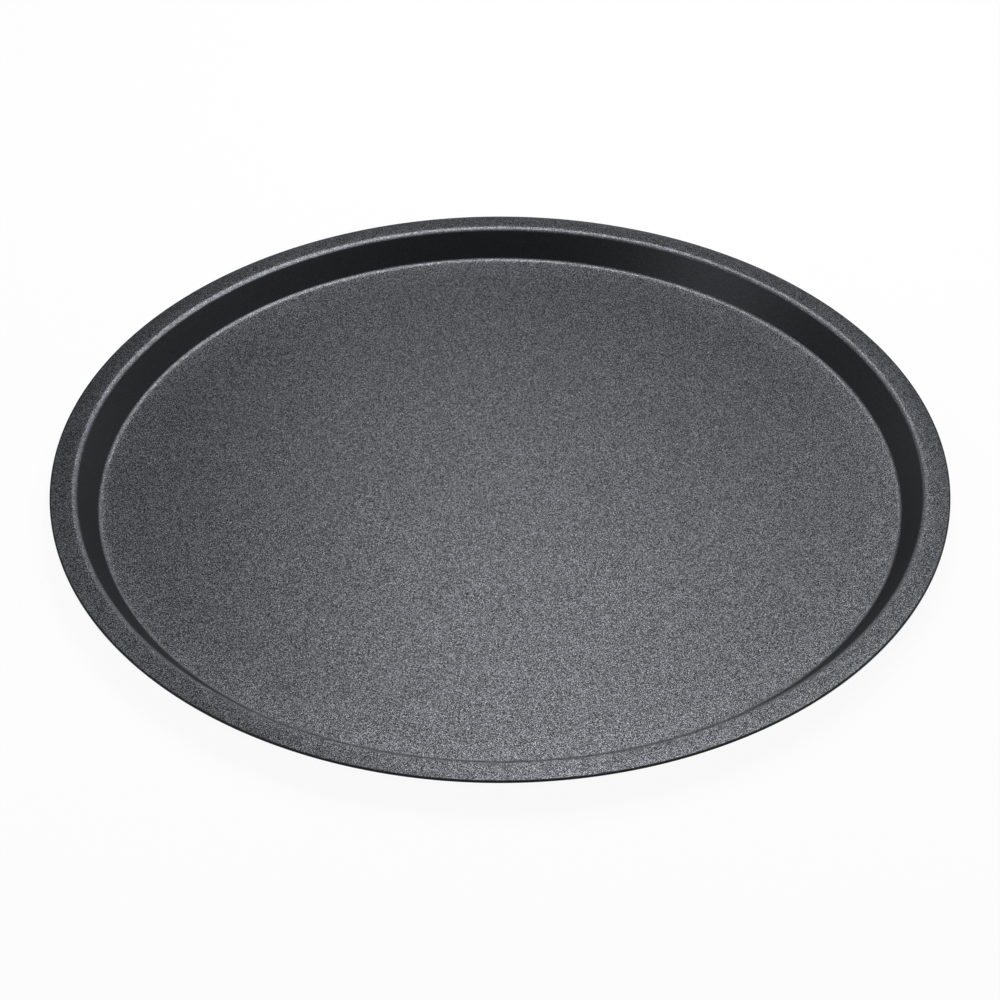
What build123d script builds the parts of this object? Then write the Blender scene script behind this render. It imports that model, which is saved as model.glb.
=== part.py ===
from build123d import *
from math import cos, radians, sin, tan
import os

# Round pizza pan, pressed from one sheet of steel and sprayed with a non-stick coat on each side.
# Millimetres, +Z up. The origin is in the middle of the pan, on the surface it stands on.

# Pressing
outer_diameter = 320.0  # over the coated edge
press_depth = 9.85  # from the floor up to the top of the rim, both on the steel's upper face
wall_slope = 51.0  # degrees above level
rim_width = 6.75  # from the top of the shoulder bend out to the trimmed edge
rim_droop = 6.75  # degrees below level
steel_thickness = 0.7

# Bends, measured on the steel's upper face
floor_bend = 4.6  # hollow between floor and wall
shoulder_bend = 4.6  # round between wall and rim

# Coats
inner_coat = 0.04  # speckled cooking coat, over the upper face
outer_coat = 0.04  # plain coat, over the underside and up round the trimmed edge

# Section of the steel's upper face, from the axis to the trimmed edge
steel_radius = outer_diameter / 2 - outer_coat
floor_level = outer_coat + steel_thickness
wall_rise = press_depth - (floor_bend + shoulder_bend) * (1 - cos(radians(wall_slope)))
wall_length = wall_rise / sin(radians(wall_slope))
bends_reach = (floor_bend + shoulder_bend) * sin(radians(wall_slope))
floor_radius = steel_radius - rim_width - bends_reach - wall_length * cos(radians(wall_slope))


def face_line(depth, overhang=0):
    """Draws a line parallel to the steel's upper face, from the axis outward, and gives its last stretch.

    The line lies depth below that face, or above it where depth is negative, and ends overhang outside the
    steel's edge. Each bend keeps its centre, so with depth the hollow widens and the round tightens.
    """
    level = floor_level - depth
    floor = Line((0, level), (floor_radius, level))
    hollow = JernArc(floor @ 1, floor % 1, floor_bend + depth, wall_slope)
    wall = PolarLine(hollow @ 1, wall_length, wall_slope)
    shoulder = JernArc(wall @ 1, wall % 1, shoulder_bend - depth, -wall_slope)
    width = rim_width + overhang
    return Line(shoulder @ 1, shoulder @ 1 + Vector(width, -width * tan(radians(rim_droop))))


# Steel sheet: one pressing with an edge trimmed straight down
with BuildPart() as steel_pan:
    with BuildSketch(Plane.XZ):
        with BuildLine():
            upper_rim = face_line(0)
            lower_rim = face_line(steel_thickness)
            Line(upper_rim @ 1, lower_rim @ 1)
            Line((0, floor_level), (0, floor_level - steel_thickness))
        make_face()
    revolve(axis=Axis.Z)

# Cooking coat: bonded to the upper face, out to the trimmed edge
with BuildPart() as inner_coating:
    with BuildSketch(Plane.XZ):
        with BuildLine():
            skin_rim = face_line(-inner_coat)
            upper_rim = face_line(0)
            Line(skin_rim @ 1, upper_rim @ 1)
            Line((0, floor_level + inner_coat), (0, floor_level))
        make_face()
    revolve(axis=Axis.Z)

# Outer coat: bonded to the underside and the trimmed edge, where it closes flush with the cooking coat
edge_height = Vector(0, steel_thickness + inner_coat)
with BuildPart() as outer_coating:
    with BuildSketch(Plane.XZ):
        with BuildLine():
            lower_rim = face_line(steel_thickness)
            skin_rim = face_line(steel_thickness + outer_coat, outer_coat)
            edge_inside = Line(lower_rim @ 1, lower_rim @ 1 + edge_height)
            edge_outside = Line(skin_rim @ 1, skin_rim @ 1 + edge_height + Vector(0, outer_coat))
            Line(edge_inside @ 1, edge_outside @ 1)
            Line((0, outer_coat), (0, 0))
        make_face()
    revolve(axis=Axis.Z)

steel_pan.part.label = "steel_pan"
inner_coating.part.label = "inner_coating"
outer_coating.part.label = "outer_coating"

os.makedirs("parts", exist_ok=True)
export_step(steel_pan.part, "parts/steel_pan.step")
export_step(inner_coating.part, "parts/inner_coating.step")
export_step(outer_coating.part, "parts/outer_coating.step")
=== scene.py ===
from math import cos, pi, radians, sin, tan

import bpy
import numpy as np
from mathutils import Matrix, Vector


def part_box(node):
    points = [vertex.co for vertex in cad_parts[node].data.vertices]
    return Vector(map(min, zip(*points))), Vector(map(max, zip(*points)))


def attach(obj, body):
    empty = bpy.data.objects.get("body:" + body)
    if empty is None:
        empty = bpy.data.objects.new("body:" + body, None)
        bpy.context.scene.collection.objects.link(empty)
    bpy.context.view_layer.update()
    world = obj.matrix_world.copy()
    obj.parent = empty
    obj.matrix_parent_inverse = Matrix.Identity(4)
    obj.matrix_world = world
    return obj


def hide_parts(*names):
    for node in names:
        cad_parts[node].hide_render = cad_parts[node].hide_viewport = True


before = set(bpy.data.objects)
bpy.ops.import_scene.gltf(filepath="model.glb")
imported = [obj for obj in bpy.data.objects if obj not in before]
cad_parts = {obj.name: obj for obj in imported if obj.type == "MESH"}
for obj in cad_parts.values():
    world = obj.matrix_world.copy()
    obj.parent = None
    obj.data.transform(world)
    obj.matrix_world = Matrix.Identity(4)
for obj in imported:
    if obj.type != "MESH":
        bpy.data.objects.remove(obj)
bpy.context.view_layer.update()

# Steel sheet: one round pressing, 0.7 mm thick, with a flat floor, a sloping wall and a rim that curves
# down to its trimmed edge. Cold-rolled steel with the grain of the mill's rolls. Both coats hide it.
SHEET = 0.0007
EDGE_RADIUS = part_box("steel_pan")[1].x
FLOOR_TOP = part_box("steel_pan")[0].z + SHEET
PRESS_DEPTH = 0.00985  # from the floor to the top of the rim
WALL_SLOPE = radians(51.0)
FOOT_SLOPE = radians(6.0)  # of the floor where it meets the wall's lower bend
RIM_DROOP = radians(9.0)  # of the rim at its edge
FOOT_BEND = 0.018  # radius of the floor's slow rise towards the wall
FLOOR_BEND = 0.0024  # radius of the wall's lower bend
SHOULDER_BEND = 0.0032  # radius of the round at the wall's top
RIM_BEND = 0.0474  # radius of the rim's curve
NEAR_BEND = 0.005  # the floor's last flat stretch, which has shorter steps
EDGE_ROUND = 0.00012  # the trimmed edge is deburred to this radius
TURNS = 512  # facets round the pan
CREASE = radians(40)  # two faces that turn by more than this meet at a sharp edge


def pressed_line():
    """Radius, height and slope along the sheet's upper face, from the axis to the trimmed edge.

    The slope stays as it is along the floor and the wall, and changes evenly along each bend. A short step
    goes forward at the slope of its middle, by its chord, so straight and round stretches come out exact.
    """
    rise = FOOT_BEND * (1 - cos(FOOT_SLOPE)) + FLOOR_BEND * (cos(FOOT_SLOPE) - cos(WALL_SLOPE))
    rise += SHOULDER_BEND * (1 - cos(WALL_SLOPE))
    wall = (PRESS_DEPTH - rise) / sin(WALL_SLOPE)
    reach = FOOT_BEND * sin(FOOT_SLOPE) + FLOOR_BEND * (sin(WALL_SLOPE) - sin(FOOT_SLOPE))
    reach += SHOULDER_BEND * sin(WALL_SLOPE) + RIM_BEND * sin(RIM_DROOP)
    floor = EDGE_RADIUS - reach - wall * cos(WALL_SLOPE)
    stretches = (  # length, slope at its end, steps
        (floor - NEAR_BEND, 0.0, 10),
        (NEAR_BEND, 0.0, 4),
        (FOOT_BEND * FOOT_SLOPE, FOOT_SLOPE, 10),
        (FLOOR_BEND * (WALL_SLOPE - FOOT_SLOPE), WALL_SLOPE, 16),
        (wall, WALL_SLOPE, 5),
        (SHOULDER_BEND * WALL_SLOPE, 0.0, 22),
        (RIM_BEND * RIM_DROOP, -RIM_DROOP, 12),
    )
    lengths = np.concatenate([np.full(steps, length / steps) for length, end, steps in stretches])
    starts = [0.0] + [end for length, end, steps in stretches]
    turns = np.concatenate(
        [np.full(steps, (end - start) / steps) for start, (length, end, steps) in zip(starts, stretches)]
    )
    slopes = np.concatenate([[0.0], np.cumsum(turns)])
    middles = slopes[:-1] + turns / 2
    chords = lengths * np.sinc(turns / 2 / pi)
    radius = np.concatenate([[0.0], np.cumsum(chords * np.cos(middles))])
    height = np.concatenate([[0.0], np.cumsum(chords * np.sin(middles))])
    return radius, height + FLOOR_TOP, slopes


LINE_RADIUS, LINE_HEIGHT, LINE_SLOPE = pressed_line()


def parallel(depth, reach):
    """The line that lies depth below the sheet's upper face: each point moves along the face's normal.

    Its last point slides along the rim's slope until it is reach from the axis.
    """
    radius = LINE_RADIUS + depth * np.sin(LINE_SLOPE)
    height = LINE_HEIGHT - depth * np.cos(LINE_SLOPE)
    inside = radius < reach - EDGE_ROUND
    inside[-1] = True
    radius, height = radius[inside], height[inside]
    height[-1] -= (reach - radius[-1]) * tan(RIM_DROOP)
    radius[-1] = reach
    return np.stack([radius, height], axis=1)


def rounded(line, size, steps=6):
    """The line with its last corner but one, line[-2], made round, from size before it to size after it.

    The round is a quadratic curve: start (1 - t)^2 + corner 2 t (1 - t) + end t^2, for t from 0 to 1.
    """
    before, corner, after = line[-3], line[-2], line[-1]
    start = corner + (before - corner) * size / np.linalg.norm(before - corner)
    end = corner + (after - corner) * size / np.linalg.norm(after - corner)
    share = np.linspace(0, 1, steps)[:, None]
    curve = start * (1 - share) ** 2 + corner * 2 * share * (1 - share) + end * share**2
    return np.concatenate([line[:-2], curve, line[-1:]])


def trimmed(over, under, size):
    """A section: out along the line over, round the edge with two small round corners, back along under."""
    middle = (over[-1] + under[-1]) / 2
    outward = rounded(np.concatenate([over, [middle]]), size)[:-1]
    inward = rounded(np.concatenate([under, [middle]]), size)[:-1]
    return np.concatenate([outward, inward[::-1]])


def turned(name, section):
    """A closed shell: a section that starts and ends on the axis, carried once round that axis.

    A point of the section at radius r and height z makes a ring of points (r cos a, r sin a, z), for
    evenly spaced angles a. The section's two ends close the shell with one point each.
    """
    angles = np.arange(TURNS) * 2 * pi / TURNS
    rings = section[1:-1]
    places = np.empty((len(rings), TURNS, 3))
    places[:, :, 0] = rings[:, :1] * np.cos(angles)
    places[:, :, 1] = rings[:, :1] * np.sin(angles)
    places[:, :, 2] = rings[:, 1:]
    poles = [(0.0, 0.0, section[0, 1]), (0.0, 0.0, section[-1, 1])]
    points = np.concatenate([places.reshape(-1, 3), poles])

    here = np.arange(TURNS)
    after = np.roll(here, -1)
    rows = np.arange(len(rings) - 1)[:, None] * TURNS
    quads = np.stack([rows + here, rows + TURNS + here, rows + TURNS + after, rows + after], axis=-1)
    last = (len(rings) - 1) * TURNS
    first_fan = np.stack([np.full(TURNS, len(points) - 2), here, after], axis=-1)
    last_fan = np.stack([np.full(TURNS, len(points) - 1), last + after, last + here], axis=-1)

    mesh = bpy.data.meshes.new(name)
    faces = quads.reshape(-1, 4).tolist() + first_fan.tolist() + last_fan.tolist()
    mesh.from_pydata(points.tolist(), [], faces)
    mesh.shade_smooth()
    mesh.set_sharp_from_angle(angle=CREASE)
    piece = bpy.data.objects.new(name, mesh)
    bpy.context.scene.collection.objects.link(piece)
    return piece


class Wire:
    """A value on its way through a material. An operator on it adds the Math node that works it out."""

    def __init__(self, tree, socket=None):
        self.tree = tree
        self.socket = socket

    def node(self, kind, settings=None, inputs=None, output=0):
        """Adds a node: its settings first, then its inputs, each a value or a wire. Gives one output."""
        made = self.tree.nodes.new(kind)
        for name, value in (settings or {}).items():
            setattr(made, name, value)
        for key, value in (inputs or {}).items():
            if isinstance(value, Wire):
                self.tree.links.new(value.socket, made.inputs[key])
            else:
                made.inputs[key].default_value = value
        return Wire(self.tree, made.outputs[output] if made.outputs else None)

    def math(self, operation, *values):
        return self.node("ShaderNodeMath", {"operation": operation}, dict(enumerate(values)))

    def __add__(self, other):
        return self.math("ADD", self, other)

    def __sub__(self, other):
        return self.math("SUBTRACT", self, other)

    def __rsub__(self, other):
        return self.math("SUBTRACT", other, self)

    def __mul__(self, other):
        return self.math("MULTIPLY", self, other)

    def __pow__(self, other):
        return self.math("POWER", self, other)

    __radd__, __rmul__ = __add__, __mul__

    def ramp(self, low, high, to_low=0.0, to_high=1.0):
        """Maps the range low to high smoothly onto to_low to to_high, and holds it there beyond the range."""
        values = {"Value": self, "From Min": low, "From Max": high, "To Min": to_low, "To Max": to_high}
        return self.node("ShaderNodeMapRange", {"interpolation_type": "SMOOTHSTEP"}, values)

    def blend(self, first, second):
        """A colour between first and second, with this wire as the share of the second."""
        return self.node("ShaderNodeMix", {"data_type": "RGBA"}, {0: self, 6: first, 7: second}, output=2)

    def from_axis(self):
        """The distance of a place from the pan's axis: the length of its X and Y alone."""
        level = self.node("ShaderNodeVectorMath", {"operation": "MULTIPLY"}, {0: self, 1: (1, 1, 0)})
        return self.node("ShaderNodeVectorMath", {"operation": "LENGTH"}, {0: level}, output="Value")


def material(name):
    """A new material with no nodes yet, and a Wire that adds nodes to it."""
    made = bpy.data.materials.new(name)
    made.use_nodes = True
    made.node_tree.nodes.clear()
    return made, Wire(made.node_tree)


def dressed(piece, finish):
    """Gives a piece its material, and fixes it to the pan's one body."""
    piece.data.materials.append(finish)
    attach(piece, "root")


STEEL_DULL = (0.38, 0.38, 0.39, 1)
STEEL_BRIGHT = (0.46, 0.46, 0.47, 1)
STEEL_ROUGHNESS = (0.32, 0.42)
GRAIN_WIDTH = 0.00015
GRAIN_LENGTH = 0.02
NOISE_RANGE = (0.3, 0.7)  # where most of a noise texture's values lie
cold_rolled, wire = material("cold_rolled_steel")
place = wire.node("ShaderNodeTexCoord", output="Object")
stretch = (1 / GRAIN_LENGTH, 1 / GRAIN_WIDTH, 1 / GRAIN_WIDTH)
along = wire.node("ShaderNodeMapping", {}, {"Vector": place, "Scale": stretch})
grain = wire.node("ShaderNodeTexNoise", {}, {"Vector": along, "Scale": 1.0, "Detail": 2.0})
surface = wire.node("ShaderNodeBsdfPrincipled", {}, {
    "Base Color": grain.blend(STEEL_DULL, STEEL_BRIGHT),
    "Roughness": grain.ramp(*NOISE_RANGE, *STEEL_ROUGHNESS),
    "Metallic": 1.0,
})
wire.node("ShaderNodeOutputMaterial", {}, {"Surface": surface})

sheet_over, sheet_under = parallel(0, EDGE_RADIUS), parallel(SHEET, EDGE_RADIUS)
sheet_section = trimmed(sheet_over, sheet_under, EDGE_ROUND)
sheet = turned("pressed_sheet", sheet_section)
dressed(sheet, cold_rolled)
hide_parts("steel_pan")

# Cooking coat: dark grey non-stick, sprayed over the upper face and baked on, full of fine metal flecks.
# Painted highlights brighten the flecks over the gentle slopes, the bends and a ring on the floor round the
# wall's foot, and painted shade darkens them on the steep wall, where they also lose most of their contrast.
# The coat is satin, and stops just short of the edge, where the underside's coat comes round.
COAT = 0.00004
EDGE_WRAP = 0.00045  # how far the underside's coat comes in over the rim
FLECK = 0.00018  # size of a fleck
FLECK_DULL = (0.005, 0.0052, 0.0058, 1)
FLECK_BRIGHT = (0.455, 0.472, 0.516, 1)
RARITY = 4  # the higher, the fewer flecks are bright
MEAN_SHARE = 1 / (RARITY + 1)  # mean of a chance between 0 and 1, to the power RARITY
RING_START, RING_FULL = 0.128, 0.136  # the painted sheen ring round the wall sets in at these radii on the floor
RING_LAST, RING_END = 0.149, 0.153  # and fades at these over the shoulder
GENTLE, BEND, STEEP = (0, 10), (15, 24), (38, 48)  # slopes in degrees: where each sets in and is full
FLOOR_LIGHT = 0.71  # brightness of the flecks on the level floor
PAINTED_RING_SHEEN, PAINTED_GENTLE_HIGHLIGHT, PAINTED_BEND_HIGHLIGHT, PAINTED_WALL_SHADE = 0.08, 0.22, 0.22, -0.55  # painted sheen, painted highlights and painted shade, added to it there
GENTLE_EVEN, BEND_EVEN, STEEP_EVEN = 0.25, 0.2, 0.6  # the share of their contrast that the flecks lose
speckled, wire = material("speckled_nonstick_coat")
place = wire.node("ShaderNodeTexCoord", output="Object")
cells = wire.node("ShaderNodeTexVoronoi", {}, {"Vector": place, "Scale": 1 / FLECK}, output="Color")
chance = wire.node("ShaderNodeSeparateColor", {}, {"Color": cells})
radius = place.from_axis()
normal = wire.node("ShaderNodeTexCoord", output="Normal")
slope_cosine = wire.node("ShaderNodeSeparateXYZ", {}, {"Vector": normal}, output="Z")


def steeper(low, high):
    """From 0 where the surface slopes by low degrees or less, to 1 where it slopes by high or more."""
    return slope_cosine.ramp(cos(radians(low)), cos(radians(high)))


# painted sheen: the flecks are painted brighter in a ring on the floor round the foot of the wall
painted_ring = radius.ramp(RING_START, RING_FULL) * radius.ramp(RING_END, RING_LAST)
sloping = steeper(*GENTLE)
on_wall = steeper(*STEEP)
on_bend = steeper(*BEND) * (1 - on_wall)
# painted light: the flecks are painted brighter on gentle slopes and bends (painted highlight) and darker on
# the steep wall (painted shade)
painted_slope_light = sloping * PAINTED_GENTLE_HIGHLIGHT + on_bend * PAINTED_BEND_HIGHLIGHT + on_wall * PAINTED_WALL_SHADE
brightness = painted_ring * PAINTED_RING_SHEEN + painted_slope_light + FLOOR_LIGHT
contrast = 1 - sloping * GENTLE_EVEN - on_bend * BEND_EVEN - on_wall * STEEP_EVEN
share = (chance**RARITY - MEAN_SHARE) * contrast + MEAN_SHARE
surface = wire.node("ShaderNodeBsdfPrincipled", {}, {
    "Base Color": (share * brightness).blend(FLECK_DULL, FLECK_BRIGHT),
    "Metallic": 0.9,
    "Roughness": 0.44,
    "Specular Tint": (0.68, 0.68, 0.68, 1),
})
wire.node("ShaderNodeOutputMaterial", {}, {"Surface": surface})

coat_reach = EDGE_RADIUS - EDGE_WRAP
coat_over, coat_under = parallel(-COAT, coat_reach), parallel(0, coat_reach)
inner_coat = turned("cooking_coat", np.concatenate([coat_over, coat_under[::-1]]))
dressed(inner_coat, speckled)
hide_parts("inner_coating")

# Outer coat: plain dark grey heat-resistant coat on the underside, carried round the trimmed edge on to the
# rim's upper face. Near the edge it is painted near black, a painted shade that shows as a thin black line.
SKIN_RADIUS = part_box("outer_coating")[1].x
OUTER_DARK = (0.036, 0.036, 0.039, 1)
OUTER_LIGHT = (0.05, 0.05, 0.054, 1)
OUTER_ROUGHNESS = (0.46, 0.54)
EDGE_PAINTED_SHADE = (0.008, 0.008, 0.009, 1)
SHADE_START, SHADE_FULL = 0.001, 0.0005  # the painted shade sets in this far from the edge, and is full from here
MIST_SCALE = 900.0  # spray marks per metre
MIST_DEPTH = 0.00003  # of their relief
SAME_PLACE = 1e-9  # two points nearer than this count as one
plain, wire = material("plain_outer_coat")
place = wire.node("ShaderNodeTexCoord", output="Object")
# painted shade: the coat's colour turns near black towards the trimmed edge
painted_edge_shade = place.from_axis().ramp(SKIN_RADIUS - SHADE_START, SKIN_RADIUS - SHADE_FULL)
mist = wire.node("ShaderNodeTexNoise", {}, {"Vector": place, "Scale": MIST_SCALE, "Detail": 3.0})
surface = wire.node("ShaderNodeBsdfPrincipled", {}, {
    "Base Color": painted_edge_shade.blend(mist.blend(OUTER_DARK, OUTER_LIGHT), EDGE_PAINTED_SHADE),
    "Roughness": mist.ramp(*NOISE_RANGE, *OUTER_ROUGHNESS),
    "Specular IOR Level": 0.15,
    "Normal": wire.node("ShaderNodeBump", {}, {"Height": mist, "Strength": 0.2, "Distance": MIST_DEPTH}),
})
wire.node("ShaderNodeOutputMaterial", {}, {"Surface": surface})


def past_coat(section):
    """The part of a section from its first point that lies beyond the cooking coat's end."""
    return section[int(np.argmax(section[:, 0] > coat_reach + SAME_PLACE)):]


skin_over, skin_under = parallel(-COAT, SKIN_RADIUS), parallel(SHEET + COAT, SKIN_RADIUS)
skin_section = trimmed(skin_over, skin_under, EDGE_ROUND + COAT)
coat_end = [coat_under[-1], coat_over[-1]]
outer_coat = turned(
    "outer_coat", np.concatenate([past_coat(sheet_section)[::-1], coat_end, past_coat(skin_section)])
)
dressed(outer_coat, plain)
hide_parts("outer_coating")

# Floor of the studio: a wide white sheet of paper that the pan stands on. It isn't part of the object.
# What the camera and the pan's reflections see of it is nearly plain white, with a little of the shadow.
FLOOR_HALF = 4.0
WHITE = (1, 1, 1, 1)
PAPER = (0.9, 0.9, 0.9, 1)
SHOWN_WHITE = 0.94  # the share of plain white, and the rest is the paper with its shadow
floor_mesh = bpy.data.meshes.new("studio_floor")
corners = [(-1, -1), (1, -1), (1, 1), (-1, 1)]
floor_mesh.from_pydata([(x * FLOOR_HALF, y * FLOOR_HALF, 0) for x, y in corners], [], [(0, 1, 2, 3)])
floor = bpy.data.objects.new("studio_floor", floor_mesh)
bpy.context.scene.collection.objects.link(floor)
white_paper, wire = material("white_paper")
camera_ray = wire.node("ShaderNodeLightPath", output="Is Camera Ray")
glossy_ray = wire.node("ShaderNodeLightPath", output="Is Glossy Ray")
transmission_ray = wire.node("ShaderNodeLightPath", output="Is Transmission Ray")
seen = camera_ray + glossy_ray + transmission_ray
lit = wire.node("ShaderNodeBsdfDiffuse", {}, {"Color": PAPER})
plain_white = wire.node("ShaderNodeEmission", {}, {"Color": WHITE, "Strength": 1.0})
both = wire.node("ShaderNodeMixShader", {}, {0: seen * SHOWN_WHITE, 1: lit, 2: plain_white})
wire.node("ShaderNodeOutputMaterial", {}, {"Surface": both})
floor_mesh.materials.append(white_paper)

# Lamps: round soft boxes on a dome round the pan, all aimed at its middle. The strong ones hang behind it,
# so the level floor and the bends shine towards the camera and the wall stays dark.
DOME_RADIUS = 0.75
BOX_DIAMETER = 0.16


def soft_box(name, azimuth, elevation, radiance):
    """A round area lamp. Azimuth is from +X towards +Y, and both angles are in degrees.

    A radiance of 1 is plain white in the render. A disc gives off pi times its radiance times its area.
    """
    lamp = bpy.data.lights.new(name, "AREA")
    lamp.shape = "DISK"
    lamp.size = BOX_DIAMETER
    area = pi * BOX_DIAMETER**2 / 4
    lamp.energy = pi * radiance * area
    box = bpy.data.objects.new(name, lamp)
    a, e = radians(azimuth), radians(elevation)
    box.location = (DOME_RADIUS * cos(e) * cos(a), DOME_RADIUS * cos(e) * sin(a), DOME_RADIUS * sin(e))
    box.rotation_mode = "QUATERNION"
    box.rotation_quaternion = box.location.to_track_quat("Z", "Y")
    box.visible_camera = False
    bpy.context.scene.collection.objects.link(box)


soft_box("back_top_box", 80, 68, 25.5)
soft_box("back_box", 90, 50, 18.0)
soft_box("back_low_box", 100, 31, 1.9)
soft_box("back_horizon_box", 82, 7, 2.0)
soft_box("back_right_box", 62, 42, 7.4)
soft_box("back_left_box", 135, 48, 6.5)
soft_box("right_box", 30, 60, 22.6)
soft_box("left_box", 198, 42, 8.6)

# Surround of the studio: a low white band all round the horizon, and a dark ceiling above it. The band
# lights the walls and the trimmed edge a little.
BAND_TOP = sin(radians(11.0))  # height on a dome of radius 1, 11 degrees above the horizon
BAND_FADE = 0.01
world = bpy.data.worlds.new("studio")
bpy.context.scene.world = world
world.use_nodes = True
world.node_tree.nodes.clear()
wire = Wire(world.node_tree)
direction = wire.node("ShaderNodeTexCoord", output="Generated")
height = wire.node("ShaderNodeSeparateXYZ", {}, {"Vector": direction}, output="Z")
band = height.ramp(BAND_TOP, BAND_TOP + BAND_FADE, 1.0, 0.0)
around = wire.node("ShaderNodeBackground", {}, {"Color": WHITE, "Strength": band})
wire.node("ShaderNodeOutputWorld", {}, {"Surface": around})

# Camera: the photograph's, 39 degrees above the horizon. It looks a little above the floor's middle, with a
# small shift that puts the pan where the photograph has it.
CAMERA_ELEVATION = radians(38.9)
CAMERA_DISTANCE = 1.12
CAMERA_TARGET = 0.00145  # height
CAMERA_LENS, CAMERA_SENSOR = 112.28, 36.0  # millimetres
CAMERA_SHIFT = -0.0139  # share of the picture's height
camera_data = bpy.data.cameras.new("camera")
camera_data.sensor_width = CAMERA_SENSOR
camera_data.lens = CAMERA_LENS
camera_data.shift_y = CAMERA_SHIFT
camera = bpy.data.objects.new("camera", camera_data)
camera.location = (
    0.0,
    -CAMERA_DISTANCE * cos(CAMERA_ELEVATION),
    CAMERA_TARGET + CAMERA_DISTANCE * sin(CAMERA_ELEVATION),
)
camera.rotation_euler = (pi / 2 - CAMERA_ELEVATION, 0, 0)
bpy.context.scene.collection.objects.link(camera)
bpy.context.scene.camera = camera

bpy.context.scene.view_settings.view_transform = "Standard"
